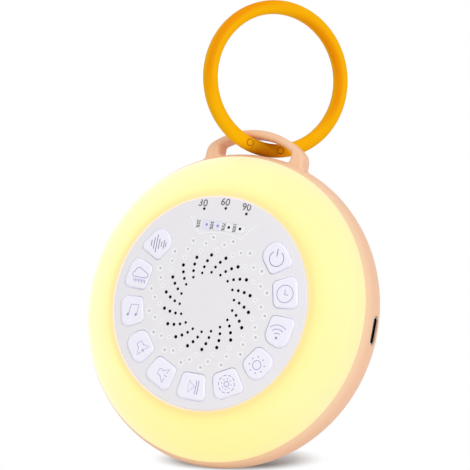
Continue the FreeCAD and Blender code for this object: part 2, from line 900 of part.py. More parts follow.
def speaker_lead_places():
    """The pair of speaker leads runs straight back through the key board's hole."""
    circle = key_board_hole - 2 * lead_radius
    half_turn = math.degrees(lead_spacing / 2 / circle)
    points = [polar(circle, lead_turn + side * half_turn, 0) for side in (-1, 1)]
    return [(p.x, p.z) for p in points]


def make_frame():
    """Inner frame: a disc with posts for the boards and sockets for the housing's screws."""
    disc = post(frame_radius(), frame_front, frame_back)
    forward = [post_at(frame_post_radius, key_board_back, frame_front, key_middle_radius(), turn)
               for turn in frame_post_turns]
    backward = [post(frame_post_radius, frame_back, main_board_front, x, z) for x, z in main_post_places()]
    sockets = [post_at(frame_socket_radius, frame_back, socket_end, screw_circle, turn)
               for turn in screw_turns()]
    body = merge([disc] + forward + backward + sockets)
    ahead = frame_front - overshoot
    behind = frame_back + overshoot
    cuts = [post_at(screw_radius, frame_back, socket_end + overshoot, screw_circle, turn)
            for turn in screw_turns()]
    cuts += [post(boss_hole_radius, frame_back, main_board_front + overshoot, x, z)
             for x, z in main_post_places()]
    cuts.append(header_prism(header_gap, ahead, behind))
    cuts += [post(lead_radius + screw_clearance, ahead, behind, x, z) for x, z in speaker_lead_places()]
    return body.cut(cuts)


def make_main_board():
    half = main_board_height / 2
    board = rounded_box(-main_board_left, main_board_right(), -half, half, main_board_corner,
                        main_board_front, main_board_back)
    radius = small_screw_radius + screw_clearance
    holes = [post(radius, main_board_front - overshoot, main_board_back + overshoot, x, z)
             for x, z in main_post_places()]
    return board.cut(holes)


def board_screw(x, z, seat):
    """Small screw whose head sits on a board's back at a given depth."""
    head = post(small_head_radius, seat, seat + small_head_height, x, z)
    return merge([head, post(small_screw_radius, seat - small_screw_length, seat, x, z)])


def make_chips():
    """The control chip and the amplifier on the main board's back."""
    y = main_board_back
    half = chip_size / 2
    control = block(-half, half, y, y + chip_height, -half, half)
    x, z = amplifier_place
    amplifier = block(x, x + amplifier_size, y, y + chip_height, z, z + amplifier_size)
    return group([control, amplifier])


def connector_x():
    """Start of the cell's connector, set back from the cell's end."""
    return cell_shift + cell_length / 2 - connector_inset


def make_cell_connector():
    x = connector_x()
    z = -connector_drop
    return block(x, x + connector_length, main_board_back, main_board_back + connector_height,
                 z, z + connector_width)


def make_cell():
    half_x = cell_length / 2
    half_z = cell_height / 2
    return rounded_box(cell_shift - half_x, cell_shift + half_x, -half_z, half_z, cell_corner,
                       cell_front, cell_back)


def make_foam():
    half_x = cell_length / 2 - foam_inset
    half_z = cell_height / 2 - foam_inset
    return block(cell_shift - half_x, cell_shift + half_x, cell_back, inner_back, -half_z, half_z)


def make_socket():
    mouth = socket_mouth_x()
    back = mouth - socket_length + socket_back
    shell = socket_prism(0, mouth - socket_length, mouth)
    bore = socket_prism(-socket_sheet, back, mouth + overshoot)
    half_y = tongue_thickness / 2
    half_z = tongue_width / 2
    middle = socket_height_above_centre
    tongue = block(back, back + tongue_length, socket_y - half_y, socket_y + half_y,
                   middle - half_z, middle + half_z)
    return shell.cut(bore), tongue


def housing_screw(turn):
    floor = boss_floor()
    head = post_at(screw_head_radius, floor, floor + screw_head_height, screw_circle, turn)
    shank = post_at(screw_radius, socket_end - screw_bite, floor, screw_circle, turn)
    top = floor + screw_head_height
    half_x = recess_length / 2
    half_z = recess_width / 2
    recess = block(-half_x, half_x, top - recess_depth, top + overshoot, -half_z, half_z)
    cross = [recess, turned(recess, 90)]
    centre = polar(screw_circle, turn, 0)
    for bar in cross:
        bar.translate(centre)
    return head.fuse(shank).removeSplitter().cut(cross)


def bent_lead(points, radius, bend):
    """Round lead along straight runs joined by tangent arcs."""
    corners = [at(*p) for p in points]
    edges = []
    start = corners[0]
    for before, corner, after in zip(corners, corners[1:], corners[2:]):
        back = before.sub(corner).normalize()
        ahead = after.sub(corner).normalize()
        half = back.getAngle(ahead) / 2
        reach = bend / math.tan(half)
        first = corner.add(at(back.x, back.y, back.z).multiply(reach))
        last = corner.add(at(ahead.x, ahead.y, ahead.z).multiply(reach))
        middle = back.add(ahead).normalize().multiply(bend / math.sin(half) - bend)
        edges.append(line(start, first))
        edges.append(Part.Arc(first, corner.add(middle), last).toShape())
        start = last
    edges.append(line(start, corners[-1]))
    path = Part.Wire(edges)
    heading = corners[1].sub(corners[0]).normalize()
    section = Part.Wire(Part.makeCircle(radius, corners[0], heading))
    return path.makePipeShell([section], True, False)


def make_leads():
    """Two cell leads and two speaker leads, clipped inside."""
    start_x = connector_x() + connector_length
    middle_z = connector_width / 2 - connector_drop
    board_y = main_board_back + connector_height / 2
    cell_y = cell_front + cell_lead_drop
    edge_x = cell_shift + cell_length / 2
    far_x = edge_x + cell_lead_reach
    cell_leads = []
    for side in (-1, 1):
        z = middle_z + side * cell_lead_spacing / 2
        route = [(start_x, board_y, z), (far_x, board_y, z), (far_x, cell_y, z), (edge_x, cell_y, z)]
        cell_leads.append(bent_lead(route, lead_radius, cell_lead_bend))
    start = panel_back + speaker_wall_height + lead_gap
    speaker_leads = [post(lead_radius, start, main_board_front, x, z) for x, z in speaker_lead_places()]
    return group(cell_leads), group(speaker_leads)


def ring_point():
    """Lowest point of the ring's middle line: its rising front stretch just clears the bar's underside."""
    hole_top = body_radius + loop_apex_height - loop_bar
    heading = math.radians(ring_heading)
    reach = (loop_depth / 2 - loop_edge_round + ring_back_shift) / math.sin(heading)
    inner = ring_radius - ring_half_width
    rise = inner - math.sqrt(inner**2 - reach**2)
    side = ring_side_shift - reach * math.cos(heading)
    arch = loop_arc_radius - loop_bar
    drop = arch - math.sqrt(arch**2 - side**2)
    middle_z = hole_top - ring_rest_gap - rise - drop - ring_half_width
    return at(ring_side_shift, widest_y + ring_back_shift, middle_z)


def ring_frame():
    """Placement of the ring: its local Z is its axis and its local -Y points down to the loop."""
    heading = math.radians(ring_heading)
    lean = math.radians(ring_lean)
    along = at(math.cos(heading), math.sin(heading), 0)
    flat = at(math.sin(heading), -math.cos(heading), 0)
    normal = flat.multiply(math.cos(lean)).add(at(0, 0, -math.sin(lean)))
    up = normal.cross(along)
    centre = ring_point().add(at(up.x, up.y, up.z).multiply(ring_radius))
    turn = Rotation(along, up, normal, "ZXY")
    return Placement(centre, turn)


def ring_section():
    """Flat band with well rounded corners, in the plane of the ring's axis."""
    inner = ring_radius - ring_half_width
    outer = ring_radius + ring_half_width
    corners = [(inner, -ring_half_thickness), (inner, ring_half_thickness),
               (outer, ring_half_thickness), (outer, -ring_half_thickness)]
    return rounded_face(corners, [ring_corner] * 4, lambda p: at(p.x, 0, p.y))


def ring_sector(start, end):
    """Stretch of the ring's tube between two angles, counted from its lowest point."""
    face = ring_section()
    face.rotate(at(0, 0, 0), at(0, 0, 1), -90 + start)
    return face.revolve(at(0, 0, 0), at(0, 0, 1), end - start)


def make_ring():
    """Open ring, the short link that closes it and the two pins that hold the link."""
    gap = math.degrees(link_gap / ring_radius)
    far_end = link_start - link_tongue_turn
    near_end = link_end + link_tongue_turn
    ring = ring_sector(link_end + gap, 360 + link_start - gap)
    reach = ring_radius + ring_half_width + overshoot
    slot_half = link_tongue_thickness / 2 + link_slot_clearance
    slot = ring_sector(far_end - gap, near_end + gap).common(
        Part.makeBox(2 * reach, 2 * reach, 2 * slot_half, at(-reach, -reach, -slot_half)))
    tongue_half = link_tongue_thickness / 2
    tongue = ring_sector(far_end, near_end).common(
        Part.makeBox(2 * reach, 2 * reach, 2 * tongue_half, at(-reach, -reach, -tongue_half)))
    link = ring_sector(link_start, link_end).fuse(tongue).removeSplitter()
    pins = []
    bores = []
    for turn in (link_start - link_tongue_turn / 2, link_end + link_tongue_turn / 2):
        angle = math.radians(turn - 90)
        foot = at(ring_radius * math.cos(angle), ring_radius * math.sin(angle), -ring_half_thickness)
        pins.append(Part.makeCylinder(link_pin_radius, 2 * ring_half_thickness, foot))
        bores.append(Part.makeCylinder(link_pin_radius + link_pin_clearance,
                                       2 * (ring_half_thickness + overshoot),
                                       at(foot.x, foot.y, foot.z - overshoot)))
    made = {"carry_ring": ring.cut([slot] + bores), "ring_link": link.cut(bores),
            "ring_link_pins": group(pins)}
    for shape in made.values():
        shape.Placement = ring_frame().multiply(shape.Placement)
    return made


pieces = {}
pieces["rear_housing"] = make_housing()
pieces["light_diffuser"] = make_diffuser()
pieces["front_panel"] = make_front_panel()
pieces["gauge_window"] = make_gauge_window()
for number, name in enumerate(key_names):
    pieces["key_" + name] = make_key(number)
pieces["timer_light_pipes"] = group([light_pipe(x, z) for x, z in timer_places()])
pieces["gauge_light_pipes"] = group([light_pipe(x, z) for x, z in gauge_places()])
pieces["indicator_lamps"] = group([indicator_lamp(x, z) for x, z in pipe_places()])
pieces["key_board"] = make_key_board()
pieces["key_switches"] = group([switch_block(i) for i in range(len(key_names))])
pieces["switch_plungers"] = group([switch_plunger(i) for i in range(len(key_names))])
pieces["key_board_screws"] = group([small_screw(turn) for turn in boss_turns()])
pieces.update(make_speaker())
pieces["inner_frame"] = make_frame()
inner_radius, outer_radius = ring_board_radii()
pieces["ring_board"] = tube(outer_radius, inner_radius, ring_board_front, ring_board_back)
pieces["ring_lamps"] = group(ring_lamps(ring_led_size, ring_board_front - ring_led_height, ring_board_front))
pieces["reflector_sheet"] = make_reflector()
pieces["main_board"] = make_main_board()
pieces["main_board_screws"] = group([board_screw(x, z, main_board_back) for x, z in main_post_places()])
pieces["board_chips"] = make_chips()
pieces["board_header"] = header_prism(0, key_board_back, main_board_front)
pieces["cell_connector"] = make_cell_connector()
pieces["charging_socket"], pieces["socket_tongue"] = make_socket()
pieces["battery_cell"] = make_cell()
pieces["battery_foam"] = make_foam()
pieces["battery_leads"], pieces["speaker_leads"] = make_leads()
pieces["housing_screws"] = group([housing_screw(turn) for turn in screw_turns()])
pieces.update(make_ring())

for node, shape in pieces.items():
    save(shape, node)
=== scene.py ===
import json
import math

import bmesh
import bpy
from mathutils import Matrix, Vector
from mathutils.bvhtree import BVHTree


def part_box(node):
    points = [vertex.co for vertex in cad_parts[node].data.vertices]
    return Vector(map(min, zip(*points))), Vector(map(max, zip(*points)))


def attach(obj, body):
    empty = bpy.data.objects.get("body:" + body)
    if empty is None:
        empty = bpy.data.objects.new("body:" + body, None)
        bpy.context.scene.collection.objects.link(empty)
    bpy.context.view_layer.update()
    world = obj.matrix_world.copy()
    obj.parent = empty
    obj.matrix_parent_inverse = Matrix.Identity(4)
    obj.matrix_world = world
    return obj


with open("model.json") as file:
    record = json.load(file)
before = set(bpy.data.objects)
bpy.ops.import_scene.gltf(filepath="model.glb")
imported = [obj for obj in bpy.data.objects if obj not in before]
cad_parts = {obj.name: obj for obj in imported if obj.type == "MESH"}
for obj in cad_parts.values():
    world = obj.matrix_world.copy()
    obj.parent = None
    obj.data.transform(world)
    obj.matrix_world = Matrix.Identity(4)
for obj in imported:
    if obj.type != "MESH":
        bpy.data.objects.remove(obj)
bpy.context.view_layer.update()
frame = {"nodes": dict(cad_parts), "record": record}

MM = 0.001

# The camera stands to the right of the machine, a little below its middle, and is held at a slant.
CAMERA_PLACE = Vector((0.218638, -0.455628, -0.030047))
CAMERA_AZIMUTH = 26.916
CAMERA_ELEVATION = 6.402
CAMERA_ROLL = 11.001
CAMERA_LENS = 112.617

# Studio: levels are what a white surface that faces the lamp takes from it.
ROOM_LEVEL = 0.60
LAMPS = (("right_lamp", (0.72, -0.6, 0.34), 0.5, 0.3), ("left_lamp", (-0.45, -0.6, 0.66), 0.6, 0.14))

# Floor: a disc that fades into the white room, with painted cool shadow round where the machine touches it.
FLOOR_RADIUS = 0.3
SHADOW_MIDDLE = (0.006, 0.022, 0.0)
FADE_START = 0.017
FADE_END = 0.031
SHADE_MIDDLE = (0.003, 0.0, 0.0)
SHADE_REACH = 0.04

# Carry ring: its heading and lean in degrees. In millimetres: half the height of its band, the reach of the
# painted shade on its link, and the two edges of the circle round each pin.
RING_HEADING = 50.3
RING_LEAN = 3.2
RING_BAND_HALF = 2.3
LINK_SHADE_REACH = 9.0
PIN_EDGE = (0.9, 1.3)

# The ring's painted shade band: its span across the band and its depth behind the band's front in
# millimetres, and the heights between which it comes in, as shares of the ring's radius.
SHADE_BAND_SPAN = (-2.5, 0.3)
SHADE_BAND_DEPTH = 1.2
SHADE_BAND_HEIGHTS = (-0.6, -0.1)

# Depths in millimetres: behind the seam, over which the glow painted on the shell fades, and of the socket's
# bright rim in front of its painted shade.
GLOW_SEAM = (0.3, 3.5)
SOCKET_RIM = 0.12

# Front panel, in millimetres: its domed front, its holes and dimples, and the depths over which painted glow
# lightens the gaps beside the keys. A circle of dimples has a radius, a turn in degrees and the radius of a
# dimple's mouth.
PANEL_BALL_RADIUS = 714.9
HOLES_REACH = 22.3
DIMPLE_ARMS = 18
DIMPLE_CIRCLES = ((17.28, 20.0, 0.42), (19.33, 26.74, 0.52), (21.23, 34.04, 0.56))
FRAME_LINE_RISE = 0.04
KEY_GAP_DEPTHS = (0.1, 0.3)

# Lit lamps, in millimetres: plugs left of and below this corner glow, and their light is painted onto two
# cells of the gauge's window.
LIT_CORNER = (0.5, 28.0)
WINDOW_CELLS = (-5.75, -1.75)
WINDOW_CELL_HALF = 1.2
WINDOW_CELL_BLUR = 0.12

# Loudspeaker: reach of the cone's pressed rings in millimetres, how far their wave turns over it in radians,
# and how far the wave of the cloth's threads turns in a metre.
CONE_REACH = 20.0
CONE_WAVE = 90.0
THREAD_WAVE = 16000.0

# Prints, in millimetres. Rays that find the surface under a print start a little in front of the machine.
RAY_START = 50.0
PRINT_RISE = 0.012
SYMBOL_LINE = 0.28
SYMBOL_SHIFT = (0.38, -0.1)
DIGIT_HEIGHT = 2.5
DIGITS_WIDTH = 3.2
DIGIT_WEIGHT = 0.012
LABEL_HEIGHT = 1.3
LABEL_WIDTH = 2.7
LABEL_WEIGHT = 0.03
LABEL_SHIFT = 0.2
LABELS_UP = 24.95
LOUDSPEAKER_TILT = 25.7

BLACK = (0.0, 0.0, 0.0, 1.0)
WHITE = (1.0, 1.0, 1.0, 1.0)

slot_of = {row["node"]: row["material_slot"] for row in frame["record"]["subparts"]}
panel_low, panel_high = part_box("front_panel")
panel_radius = (panel_high.x - panel_low.x) / 2
housing_low, housing_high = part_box("rear_housing")
body_radius = (housing_high.x - housing_low.x) / 2
socket_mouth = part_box("charging_socket")[1].x
ring_low, ring_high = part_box("carry_ring")
link_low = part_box("ring_link")[0]
ring_middle = Vector(((ring_low.x + ring_high.x) / 2, (ring_low.y + ring_high.y) / 2,
                      (link_low.z + ring_high.z) / 2))
ring_middle_radius = (ring_high.z - link_low.z) / 2 - RING_BAND_HALF * MM
ring_foot = Vector((ring_middle.x, ring_middle.y, link_low.z))
ring_heading = math.radians(RING_HEADING)
ring_lean = math.radians(RING_LEAN)

# The room is level for the camera: the round machine stands rolled and tipped a little on its floor.
room_turn = (Matrix.Rotation(math.radians(CAMERA_AZIMUTH), 4, "Z")
             @ Matrix.Rotation(math.radians(CAMERA_ELEVATION), 4, "X")
             @ Matrix.Rotation(math.radians(-CAMERA_ROLL), 4, "Y"))


def srgb(red, green, blue):
    """Colour given in the 0 to 255 steps of a screen, as the linear values that a shader takes."""
    linear = []
    for value in (red, green, blue):
        share = value / 255
        linear.append(share / 12.92 if share <= 0.04045 else ((share + 0.055) / 1.055) ** 2.4)
    return (*linear, 1.0)


def set_inputs(tree, node, inputs):
    """Give a node's inputs plain values, or link them to other nodes' sockets."""
    for key, value in inputs.items():
        if isinstance(value, bpy.types.NodeSocket):
            tree.links.new(value, node.inputs[key])
        else:
            node.inputs[key].default_value = value
    return node


def add_node(tree, kind, inputs=None, **settings):
    """New shader node with its settings and its inputs."""
    node = tree.nodes.new("ShaderNode" + kind)
    for key, value in settings.items():
        setattr(node, key, value)
    return set_inputs(tree, node, inputs or {})


def place_group(tree, group, inputs):
    """New copy of a node group in a material; gives its outputs."""
    return add_node(tree, "Group", inputs, node_tree=group).outputs


def calc(tree, operation, *values):
    """Result of an operation on numbers, each of them plain or a socket."""
    return add_node(tree, "Math", dict(enumerate(values)), operation=operation).outputs[0]


def vector_calc(tree, operation, *values):
    """Result of an operation on vectors: a number for a length or a dot product, and otherwise a vector."""
    node = add_node(tree, "VectorMath", dict(enumerate(values)), operation=operation)
    return node.outputs["Value" if operation in ("LENGTH", "DOT_PRODUCT") else "Vector"]


def stretched(tree, vector, size):
    """A vector times a number."""
    return add_node(tree, "VectorMath", {0: vector, "Scale": size}, operation="SCALE").outputs["Vector"]


def span(tree, value, low, high, first=0.0, last=1.0, **settings):
    """Where a value lies between two others, carried over to the span from first to last and held there."""
    node = add_node(tree, "MapRange", {"Value": value, "From Min": low, "From Max": high,
                                       "To Min": first, "To Max": last}, **settings)
    return node.outputs[0]


def mix(tree, factor, first, second, blend_type="MIX"):
    """Colour between two others."""
    return add_node(tree, "Mix", {"Factor": factor, 6: first, 7: second}, data_type="RGBA",
                    blend_type=blend_type).outputs[2]


def split(tree, place):
    """The X, Y and Z of a place, as sockets."""
    return add_node(tree, "SeparateXYZ", {0: place}).outputs


def ramp(tree, factor, stops, interpolation="LINEAR"):
    """Colour ramp over a factor; stops are pairs of a place from 0 to 1 and a colour."""
    node = add_node(tree, "ValToRGB", {"Fac": factor})
    node.color_ramp.interpolation = interpolation
    elements = node.color_ramp.elements
    for place, _ in stops[2:]:
        elements.new(place)
    for element, (place, colour) in zip(sorted(elements, key=lambda e: e.position), sorted(stops)):
        element.position = place
        element.color = colour
    return node.outputs["Color"]


def shader_group(name, inputs, outputs):
    """Empty node group: the group, the sockets of what it is given, and the node that takes its results."""
    group = bpy.data.node_groups.new(name, "ShaderNodeTree")
    for label, kind, value in inputs:
        socket = group.interface.new_socket(name=label, in_out="INPUT", socket_type="NodeSocket" + kind)
        if value is not None:
            socket.default_value = value
    for label, kind in outputs:
        group.interface.new_socket(name=label, in_out="OUTPUT", socket_type="NodeSocket" + kind)
    return group, group.nodes.new("NodeGroupInput").outputs, group.nodes.new("NodeGroupOutput")


def from_axis(tree, place):
    """The X, Y and Z of a place, and its distance from the machine's axis."""
    parts = split(tree, place)
    flat = add_node(tree, "CombineXYZ", {"X": parts["X"], "Y": parts["Z"]})
    return parts, vector_calc(tree, "LENGTH", flat.outputs[0])


def make_moulded_grain():
    """Fine grain of a spark-eroded mould: a height for the bump, and slow patches for gloss."""
    group, given, end = shader_group(
        "moulded_grain",
        [("Vector", "Vector", None), ("Scale", "Float", 4000.0), ("Patch Scale", "Float", 60.0)],
        [("Height", "Float"), ("Patches", "Float")])
    fine = add_node(group, "TexNoise", {"Vector": given["Vector"], "Scale": given["Scale"],
                                        "Detail": 2.0, "Roughness": 0.6})
    pits = add_node(group, "TexVoronoi", {"Vector": given["Vector"], "Scale": given["Scale"]},
                    feature="SMOOTH_F1")
    slow = add_node(group, "TexNoise", {"Vector": given["Vector"], "Scale": given["Patch Scale"],
                                        "Detail": 3.0})
    height = calc(group, "ADD", fine.outputs["Fac"], pits.outputs["Distance"])
    set_inputs(group, end, {"Height": height, "Patches": slow.outputs["Fac"]})
    return group


def make_dye_mottle():
    """Slight unevenness of dyed plastic: the colour, darker and lighter by a small amount."""
    group, given, end = shader_group(
        "dye_mottle",
        [("Vector", "Vector", None), ("Color", "Color", WHITE), ("Amount", "Float", 0.04),
         ("Scale", "Float", 120.0)],
        [("Color", "Color")])
    cloud = add_node(group, "TexNoise", {"Vector": given["Vector"], "Scale": given["Scale"],
                                         "Detail": 4.0, "Roughness": 0.55})
    centred = calc(group, "SUBTRACT", cloud.outputs["Fac"], 0.5)
    swing = calc(group, "MULTIPLY_ADD", centred, given["Amount"], 1.0)
    set_inputs(group, end, {"Color": stretched(group, given["Color"], swing)})
    return group


def make_round_distance():
    """Distance from the machine's axis, as a share between two radii."""
    group, given, end = shader_group(
        "round_distance",
        [("Vector", "Vector", None), ("Inner", "Float", 0.0), ("Outer", "Float", 0.05)],
        [("Share", "Float")])
    reach = from_axis(group, given["Vector"])[1]
    set_inputs(group, end, {"Share": span(group, reach, given["Inner"], given["Outer"])})
    return group


def make_panel_depth():
    """Depth below the panel's domed front in millimetres, and 1 inside the circle of holes and dimples."""
    group, given, end = shader_group("panel_depth", [("Vector", "Vector", None)],
                                     [("Depth", "Float"), ("Inside", "Float")])
    parts, reach = from_axis(group, given["Vector"])
    square = calc(group, "POWER", reach, 2.0)
    ahead = calc(group, "SUBTRACT", parts["Y"], panel_low.y)
    sagged = calc(group, "MULTIPLY_ADD", square, -0.5 / (PANEL_BALL_RADIUS * MM), ahead)
    set_inputs(group, end, {"Depth": calc(group, "MULTIPLY", sagged, 1 / MM),
                            "Inside": calc(group, "LESS_THAN", reach, HOLES_REACH * MM)})
    return group


def make_dimple_reach():
    """Distance in millimetres from the nearest dimple of one circle; dimples stand on equally spaced arms."""
    group, given, end = shader_group(
        "dimple_reach", [("Vector", "Vector", None), ("Circle", "Float", 0.0), ("Turn", "Float", 0.0)],
        [("Reach", "Float")])
    parts, reach = from_axis(group, given["Vector"])
    outward = calc(group, "SUBTRACT", reach, given["Circle"])
    turn = calc(group, "SUBTRACT", calc(group, "ARCTAN2", parts["X"], parts["Z"]), given["Turn"])
    pitch = 2 * math.pi / DIMPLE_ARMS
    step = calc(group, "DIVIDE", turn, pitch)
    rest = calc(group, "SUBTRACT", step, calc(group, "ROUND", step))
    along = calc(group, "MULTIPLY", calc(group, "MULTIPLY", rest, pitch), reach)
    both = add_node(group, "CombineXYZ", {"X": outward, "Y": along})
    length = vector_calc(group, "LENGTH", both.outputs[0])
    set_inputs(group, end, {"Reach": calc(group, "MULTIPLY", length, 1 / MM)})
    return group


def make_ring_shade_band():
    """1 on the slanted side of the carry ring's band that gets the least light, where shade is painted, and 0
    away from it.
    """
    group, given, end = shader_group("ring_shade_band", [("Vector", "Vector", None)], [("Shade Band", "Float")])
    axis = Vector((math.sin(ring_heading) * math.cos(ring_lean),
                   -math.cos(ring_heading) * math.cos(ring_lean), -math.sin(ring_lean)))
    along = Vector((math.cos(ring_heading), math.sin(ring_heading), 0.0))
    offset = vector_calc(group, "SUBTRACT", given["Vector"], ring_middle)
    ahead = vector_calc(group, "DOT_PRODUCT", offset, axis)
    aside = vector_calc(group, "DOT_PRODUCT", offset, along)
    back = calc(group, "MULTIPLY", ahead, -1.0)
    flat = vector_calc(group, "ADD", offset, stretched(group, axis, back))
    reach = vector_calc(group, "LENGTH", flat)
    outward = calc(group, "SUBTRACT", reach, ring_middle_radius)
    slant = calc(group, "MULTIPLY", outward, calc(group, "DIVIDE", aside, reach))
    across = span(group, slant, SHADE_BAND_SPAN[0] * MM, SHADE_BAND_SPAN[1] * MM)
    pale = (0.9, 0.9, 0.9, 1.0)
    shade_band = ramp(group, across, [(0.0, BLACK), (0.3, WHITE), (0.6, pale), (1.0, BLACK)], "EASE")
    front = span(group, ahead, 0.0, SHADE_BAND_DEPTH * MM)
    foot, shoulder = (share * ring_middle_radius for share in SHADE_BAND_HEIGHTS)
    high = span(group, split(group, offset)["Z"], foot, shoulder)
    shown = calc(group, "MULTIPLY", front, high)
    set_inputs(group, end, {"Shade Band": calc(group, "MULTIPLY", shown, shade_band)})
    return group


moulded_grain = make_moulded_grain()
dye_mottle = make_dye_mottle()
round_distance = make_round_distance()
panel_depth = make_panel_depth()
dimple_reach = make_dimple_reach()
ring_shade_band = make_ring_shade_band()


def new_material(name, constants):
    """Material with a Principled shader, its constant sockets set, and its Object coordinates."""
    material = bpy.data.materials.new(name)
    material.use_nodes = True
    tree = material.node_tree
    shader = set_inputs(tree, tree.nodes["Principled BSDF"], constants)
    place = tree.nodes.new("ShaderNodeTexCoord").outputs["Object"]
    return material, tree, shader, place


def reopened(material):
    """Tree, shader, colour so far and Object coordinates of a material that gets one more layer of colour."""
    tree = material.node_tree
    shader = tree.nodes["Principled BSDF"]
    colour = shader.inputs["Base Color"].links[0].from_socket
    return tree, shader, colour, tree.nodes.new("ShaderNodeTexCoord").outputs["Object"]


def add_bump(tree, shader, height, strength, depth_mm):
    """Bump from a height, over a depth in millimetres."""
    bump = add_node(tree, "Bump", {"Height": height, "Strength": strength, "Distance": depth_mm * MM})
    set_inputs(tree, shader, {"Normal": bump.outputs["Normal"]})


def vary_roughness(tree, shader, factor, low, high):
    """Roughness that goes from low to high with a factor."""
    set_inputs(tree, shader, {"Roughness": span(tree, factor, 0.0, 1.0, low, high)})


def dyed(tree, place, colour, amount, scale=120.0):
    """A colour with the slight unevenness of dye."""
    return place_group(tree, dye_mottle, {"Vector": place, "Color": colour, "Amount": amount,
                                          "Scale": scale})["Color"]


def grain_on(tree, shader, place, scale, strength, depth_mm, roughness):
    """Mould grain: its height as a bump, and its slow patches as a span of roughness."""
    grain = place_group(tree, moulded_grain, {"Vector": place, "Scale": scale})
    vary_roughness(tree, shader, grain["Patches"], *roughness)
    add_bump(tree, shader, grain["Height"], strength, depth_mm)


def moulded_plastic(name, colour, roughness=(0.4, 0.5), mottle=0.05, grain_scale=4500.0, grain_depth=0.012,
                    constants=None):
    """Dyed moulded plastic with grain, slow gloss patches and slight unevenness of colour."""
    material, tree, shader, place = new_material(name, constants or {})
    set_inputs(tree, shader, {"Base Color": dyed(tree, place, colour, mottle)})
    grain_on(tree, shader, place, grain_scale, 0.35, grain_depth, roughness)
    return material


def peach_shell():
    """Peach plastic with the lit ring's glow painted into its colour along their seam."""
    material = moulded_plastic("peach_shell", srgb(249, 200, 164), roughness=(0.4, 0.5), mottle=0.04,
                               constants={"Specular IOR Level": 0.35})
    tree, shader, colour, place = reopened(material)
    # Painted glow: the peach turns lighter near its seam with the lit ring.
    start, stop = (housing_low.y + depth * MM for depth in GLOW_SEAM)
    glow = span(tree, split(tree, place)["Y"], start, stop, 0.6, 0.0)
    set_inputs(tree, shader, {"Base Color": mix(tree, glow, colour, srgb(255, 222, 184))})
    return material


def glow_ring():
    """Milky ring lit from inside: warmer where its wall stands against the panel, paler outside, and with
    painted sheen where it turns away from the camera.
    """
    material, tree, shader, place = new_material("glow_ring", {"Specular IOR Level": 0.4,
                                                               "Emission Strength": 1.0})
    ring = place_group(tree, round_distance, {"Vector": place, "Inner": panel_radius, "Outer": body_radius})
    light = ramp(tree, ring["Share"], [
        (0.0, srgb(214, 200, 206)), (0.025, srgb(213, 194, 138)), (0.06, srgb(214, 192, 122)),
        (0.18, srgb(214, 210, 132)), (0.32, srgb(214, 214, 145)), (0.7, srgb(214, 213, 151)),
        (0.85, srgb(214, 209, 158)), (0.93, srgb(214, 203, 164)), (0.975, srgb(214, 196, 166)),
        (1.0, srgb(212, 180, 160))])
    parts = split(tree, place)
    left = span(tree, parts["X"], body_radius, -body_radius)
    low = span(tree, parts["Z"], -0.5 * body_radius, -body_radius)
    paler = vector_calc(tree, "MULTIPLY_ADD", left, (0.09, 0.11, 0.38), (1.0, 0.975, 0.98))
    warmer = vector_calc(tree, "MULTIPLY_ADD", low, (0.08, -0.08, -0.42), paler)
    shaded = vector_calc(tree, "MULTIPLY", dyed(tree, place, light, 0.05, 90.0), warmer)
    # Painted sheen: the glow is paler where the surface turns away from the camera.
    rim = add_node(tree, "LayerWeight", {"Blend": 0.35})
    edge_sheen = calc(tree, "POWER", rim.outputs["Facing"], 3.0)
    glow_with_painted_sheen = vector_calc(tree, "MULTIPLY_ADD", edge_sheen, (0.12, 0.12, 0.42), shaded)
    set_inputs(tree, shader, {"Base Color": dyed(tree, place, srgb(150, 147, 96), 0.06),
                              "Emission Color": glow_with_painted_sheen})
    grain_on(tree, shader, place, 5200.0, 0.25, 0.01, (0.42, 0.55))
    return material


